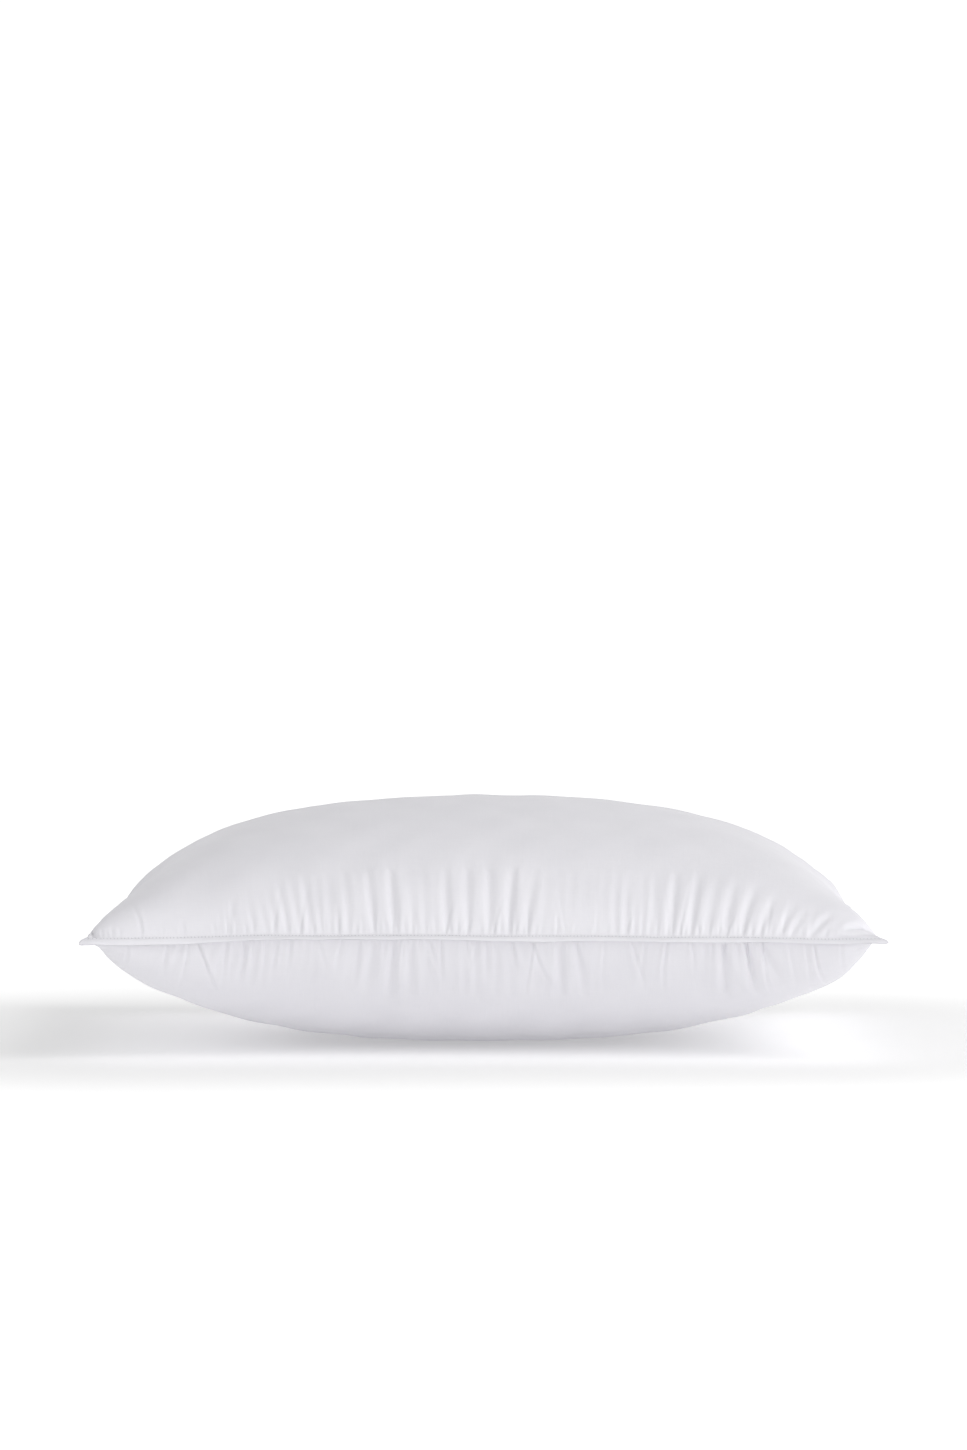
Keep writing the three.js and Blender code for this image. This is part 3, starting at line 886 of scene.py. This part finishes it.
def shell_cloth():
    """Percale: fine plain weave, uneven yarns, a faint sheen, dimples at the needle holes with
    painted shade in them.
    """
    m, nodes, links, shader = material(
        "cotton_percale", (0.83, 0.82, 0.86), 0.86,
        Sheen_Weight=0.22, Sheen_Roughness=0.45, Specular_IOR_Level=0.25,
    )
    flat, u, v = uv_axes(nodes, links, "flat")
    turns = 2 * np.pi / YARN_PITCH
    warp = math_node(nodes, links, "SINE", math_node(nodes, links, "MULTIPLY", u, turns))
    weft = math_node(nodes, links, "SINE", math_node(nodes, links, "MULTIPLY", v, turns))
    weave = math_node(nodes, links, "MULTIPLY", warp, weft)
    warp_slubs = noise(nodes, links, flat, 1400, (1, 0.045, 1), 2)
    weft_slubs = noise(nodes, links, flat, 1400, (0.045, 1, 1), 2)
    slubs = math_node(nodes, links, "ADD", warp_slubs, weft_slubs)
    cloudy = noise(nodes, links, flat, 22, (1, 1, 1), 4)
    tone = math_node(nodes, links, "MULTIPLY", slubs, 0.25)
    tone = math_node(nodes, links, "ADD", tone, math_node(nodes, links, "MULTIPLY", cloudy, 0.5))
    colour = colour_between(nodes, links, tone, (0.800, 0.792, 0.832), (0.845, 0.836, 0.872))
    rough = nodes.new("ShaderNodeMapRange")
    rough.inputs["To Min"].default_value = 0.78
    rough.inputs["To Max"].default_value = 0.92
    links.new(slubs, rough.inputs["Value"])
    links.new(rough.outputs[0], shader.inputs["Roughness"])
    _, along, across = uv_axes(nodes, links, "edge")
    stitch = math_node(nodes, links, "MULTIPLY", along, 2 * np.pi / (ROUND / STITCHES))
    holes = math_node(nodes, links, "COSINE", stitch)
    from_row = math_node(nodes, links, "SUBTRACT", across, STITCH_ROW)
    from_row = math_node(nodes, links, "ABSOLUTE", from_row)
    near_row = math_node(
        nodes, links, "SUBTRACT", 1.0,
        math_node(nodes, links, "DIVIDE", from_row, DIMPLE_AND_SHADE_REACH), clamp=True,
    )
    dimples = math_node(nodes, links, "MULTIPLY", holes, near_row)
    # painted shade: the cloth's colour is darkened in the needle holes along the stitch row
    painted_hole_shade = nodes.new("ShaderNodeMix")
    painted_hole_shade.data_type = "RGBA"
    painted_hole_shade.blend_type = "MULTIPLY"
    hole_shade_mask = math_node(nodes, links, "MULTIPLY", holes, near_row, clamp=True)
    links.new(math_node(nodes, links, "POWER", hole_shade_mask, 2.0), painted_hole_shade.inputs["Factor"])
    links.new(colour, painted_hole_shade.inputs["A"])
    painted_hole_shade.inputs["B"].default_value = (0.45, 0.45, 0.46, 1)
    links.new(painted_hole_shade.outputs["Result"], shader.inputs["Base Color"])
    crumple = noise(nodes, links, flat, 160, (1, 1, 1), 3)
    streaks = noise(nodes, links, flat, 170, (1, 0.07, 1), 3)
    normal = bump(nodes, links, crumple, 0.22, 0.0008)
    normal = bump(nodes, links, streaks, 0.16, 0.0010, normal)
    normal = bump(nodes, links, slubs, 0.35, 0.00012, normal)
    normal = bump(nodes, links, weave, 0.25, 0.00005, normal)
    normal = bump(nodes, links, dimples, -0.8, 0.00035, normal)
    links.new(normal, shader.inputs["Normal"])
    return m


def sewing_thread():
    """White spun thread of twisted strands, slightly glossy, with painted shade in the grooves
    between the strands.
    """
    m, nodes, links, shader = material(
        "sewing_thread", (0.88, 0.88, 0.90), 0.55,
        Sheen_Weight=0.3, Sheen_Roughness=0.3, Specular_IOR_Level=0.4,
    )
    _, u, v = uv_axes(nodes, links, "flat")
    twist = math_node(
        nodes, links, "ADD",
        math_node(nodes, links, "MULTIPLY", u, 2 * np.pi / TWIST_PITCH),
        math_node(nodes, links, "MULTIPLY", v, 4 * np.pi),
    )
    strands = math_node(nodes, links, "SINE", twist)
    # painted shade: the colour darkens along the twist where the strands' bump is low, in the
    # grooves between them
    colour = colour_between(
        nodes, links, math_node(nodes, links, "MULTIPLY_ADD", strands, 0.5),
        (0.82, 0.82, 0.85), (0.90, 0.90, 0.92),
    )
    links.new(colour, shader.inputs["Base Color"])
    links.new(bump(nodes, links, strands, 0.5, 0.00005), shader.inputs["Normal"])
    return m


def label_tape():
    """Satin ribbon with fine ribs and a thicker selvedge."""
    m, nodes, links, shader = material(
        "satin_tape", (0.88, 0.87, 0.85), 0.42,
        Sheen_Weight=0.15, Specular_IOR_Level=0.5, Anisotropic=0.4,
    )
    flat, u, v = uv_axes(nodes, links, "flat")
    ribs = math_node(nodes, links, "MULTIPLY", v, 2 * np.pi / RIB_PITCH)
    ribs = math_node(nodes, links, "SINE", ribs)
    from_middle = math_node(
        nodes, links, "ABSOLUTE", math_node(nodes, links, "SUBTRACT", u, LABEL_WIDTH / 2)
    )
    selvedge = math_node(nodes, links, "GREATER_THAN", from_middle, LABEL_WIDTH / 2 - SELVEDGE)
    yarns = noise(nodes, links, flat, 1500, (1, 0.05, 1), 2)
    colour = colour_between(nodes, links, yarns, (0.84, 0.83, 0.81), (0.90, 0.89, 0.875))
    links.new(colour, shader.inputs["Base Color"])
    normal = bump(nodes, links, ribs, 0.35, 0.00005)
    normal = bump(nodes, links, selvedge, 0.6, 0.00010, normal)
    links.new(normal, shader.inputs["Normal"])
    return m


def fibre_filling():
    """Clumps of loose white fibre."""
    m, nodes, links, shader = material(
        "fibre_filling", (0.90, 0.89, 0.85), 1.0, Sheen_Weight=0.6, Sheen_Roughness=0.6,
    )
    place = nodes.new("ShaderNodeTexCoord").outputs["Object"]
    clumps = noise(nodes, links, place, 45, (1, 1, 1), 6)
    fibres = noise(nodes, links, place, 600, (1, 0.2, 1), 4)
    both = math_node(nodes, links, "ADD", clumps, math_node(nodes, links, "MULTIPLY", fibres, 0.4))
    colour = colour_between(nodes, links, clumps, (0.84, 0.83, 0.79), (0.93, 0.92, 0.89))
    links.new(colour, shader.inputs["Base Color"])
    links.new(bump(nodes, links, both, 0.8, 0.004), shader.inputs["Normal"])
    return m


cloth, thread, satin, fibre = shell_cloth(), sewing_thread(), label_tape(), fibre_filling()
for piece, finish, slot, node in (
    (top_panel, cloth, "shell_cloth", "top_panel"),
    (bottom_panel, cloth, "shell_cloth", "bottom_panel"),
    (filling, fibre, "filling", "filling"),
    (needle_row, thread, "thread", "topstitch_needle_thread"),
    (bobbin_row, thread, "thread", "topstitch_bobbin_thread"),
    (edge_seam, thread, "thread", "edge_seam_thread"),
    (closing_seam, thread, "thread", "closing_seam_thread"),
    (label, satin, "label_tape", "care_label"),
):
    piece.data.materials.append(finish)
    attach(piece, "root")
    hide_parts(node)

# ---- floor, light and camera ----
FLOOR_RADIUS, FLOOR_DROP = 14.0, 0.0002
FOOTPRINT = (0.27, 0.19, 0)  # half the floor that the pillow covers
# painted light: how brightly the floor glows, at a distance in metres outside the footprint:
# low and about even under the pillow and just round it, a painted shade, and white further off
FLOOR_GLOW_AND_SHADE = ((0.02, 0.21), (0.08, 0.19), (0.40, 0.40), (1.0, 0.62))
SKY_LOW, SKY_HIGH = (0.12, 0.92), (1.0, 0.42)  # height of a direction, brightness
REAR_BRIGHTER, RIGHT_BRIGHTER = 0.14, 0.05
AIM = np.array([0.0, 0.0, 0.100])
ELEVATION, DISTANCE = np.radians(4.0), 5.0
LENS, SENSOR, SHIFT = 150, 36, 0.1326  # the shift leaves white above the pillow, as the photo has
NEAREST, FURTHEST = 0.1, 60


def vector_math(nodes, links, operation, a, b=None):
    node = nodes.new("ShaderNodeVectorMath")
    node.operation = operation
    links.new(a, node.inputs[0])
    if b is not None:
        node.inputs[1].default_value = b
    return node.outputs["Value" if operation == "LENGTH" else "Vector"]


floor_mesh = bpy.data.meshes.new("floor")
ring = np.linspace(0, 2 * np.pi, 96, endpoint=False)
floor_mesh.from_pydata(
    [(FLOOR_RADIUS * np.cos(a), FLOOR_RADIUS * np.sin(a), -FLOOR_DROP) for a in ring],
    [],
    [tuple(range(len(ring)))],
)
floor = bpy.data.objects.new("floor", floor_mesh)
bpy.context.scene.collection.objects.link(floor)
m, nodes, links, shader = material("pale_floor", (0.88, 0.88, 0.88), 0.9, Specular_IOR_Level=0.1)
# painted light: the floor glows, least under and beside the pillow as painted shade
shader.inputs["Emission Color"].default_value = (1, 1, 1, 1)
place = nodes.new("ShaderNodeTexCoord").outputs["Object"]
past = vector_math(
    nodes, links, "SUBTRACT", vector_math(nodes, links, "ABSOLUTE", place), FOOTPRINT
)
far = vector_math(nodes, links, "LENGTH", vector_math(nodes, links, "MAXIMUM", past, (0, 0, 0)))
painted_floor_glow = nodes.new("ShaderNodeValToRGB")
painted_floor_glow.color_ramp.interpolation = "EASE"
levels = painted_floor_glow.color_ramp.elements
levels[0].position, levels[1].position = FLOOR_GLOW_AND_SHADE[0][0], FLOOR_GLOW_AND_SHADE[-1][0]
for distance, _ in FLOOR_GLOW_AND_SHADE[1:-1]:
    levels.new(distance)
for level, (_, strength) in zip(levels, FLOOR_GLOW_AND_SHADE):
    level.color = (strength,) * 3 + (1,)
links.new(far, painted_floor_glow.inputs[0])
links.new(painted_floor_glow.outputs[0], shader.inputs["Emission Strength"])
floor.data.materials.append(m)

world = bpy.data.worlds.new("studio")
bpy.context.scene.world = world
world.use_nodes = True
nodes, links = world.node_tree.nodes, world.node_tree.links
background = nodes["Background"]
direction = nodes.new("ShaderNodeTexCoord")
split = nodes.new("ShaderNodeSeparateXYZ")
links.new(direction.outputs["Generated"], split.inputs[0])
sky = nodes.new("ShaderNodeMapRange")
sky.interpolation_type = "SMOOTHSTEP"
for end, (height, brightness) in (("Min", SKY_LOW), ("Max", SKY_HIGH)):
    sky.inputs["From " + end].default_value = height
    sky.inputs["To " + end].default_value = brightness
links.new(split.outputs[2], sky.inputs["Value"])
# the backdrop behind the pillow is the brightest, and the right is brighter than the left
strength = sky.outputs[0]
for axis, share in ((1, REAR_BRIGHTER), (0, RIGHT_BRIGHTER)):
    slope = nodes.new("ShaderNodeMath")
    slope.operation = "MULTIPLY_ADD"
    links.new(split.outputs[axis], slope.inputs[0])
    slope.inputs[1].default_value = share
    links.new(strength, slope.inputs[2])
    strength = slope.outputs[0]
links.new(strength, background.inputs["Strength"])
background.inputs["Color"].default_value = (1, 1, 1, 1)


def area_light(name, place, size, power):
    """A soft rectangular light that faces the pillow."""
    light = bpy.data.lights.new(name, "AREA")
    light.shape = "RECTANGLE"
    light.size, light.size_y = size
    light.energy = power
    lamp = bpy.data.objects.new(name, light)
    lamp.location = place
    away = np.array(place) - AIM
    lamp.rotation_euler = Vector(away).to_track_quat("Z", "Y").to_euler()
    bpy.context.scene.collection.objects.link(lamp)


area_light("key", (2.1, -2.0, 2.5), (1.6, 1.6), 38)
area_light("side", (2.4, -1.5, 0.55), (1.0, 0.8), 8)

camera_data = bpy.data.cameras.new("camera")
camera = bpy.data.objects.new("camera", camera_data)
bpy.context.scene.collection.objects.link(camera)
bpy.context.scene.camera = camera
camera_data.lens, camera_data.sensor_width, camera_data.shift_y = LENS, SENSOR, SHIFT
camera_data.clip_start, camera_data.clip_end = NEAREST, FURTHEST
back = np.array([0.0, -np.cos(ELEVATION), np.sin(ELEVATION)])
camera.location = AIM + back * DISTANCE
camera.rotation_euler = (np.pi / 2 - ELEVATION, 0, 0)

bpy.context.scene.view_settings.view_transform = "Standard"
bpy.context.scene.view_settings.look = "None"
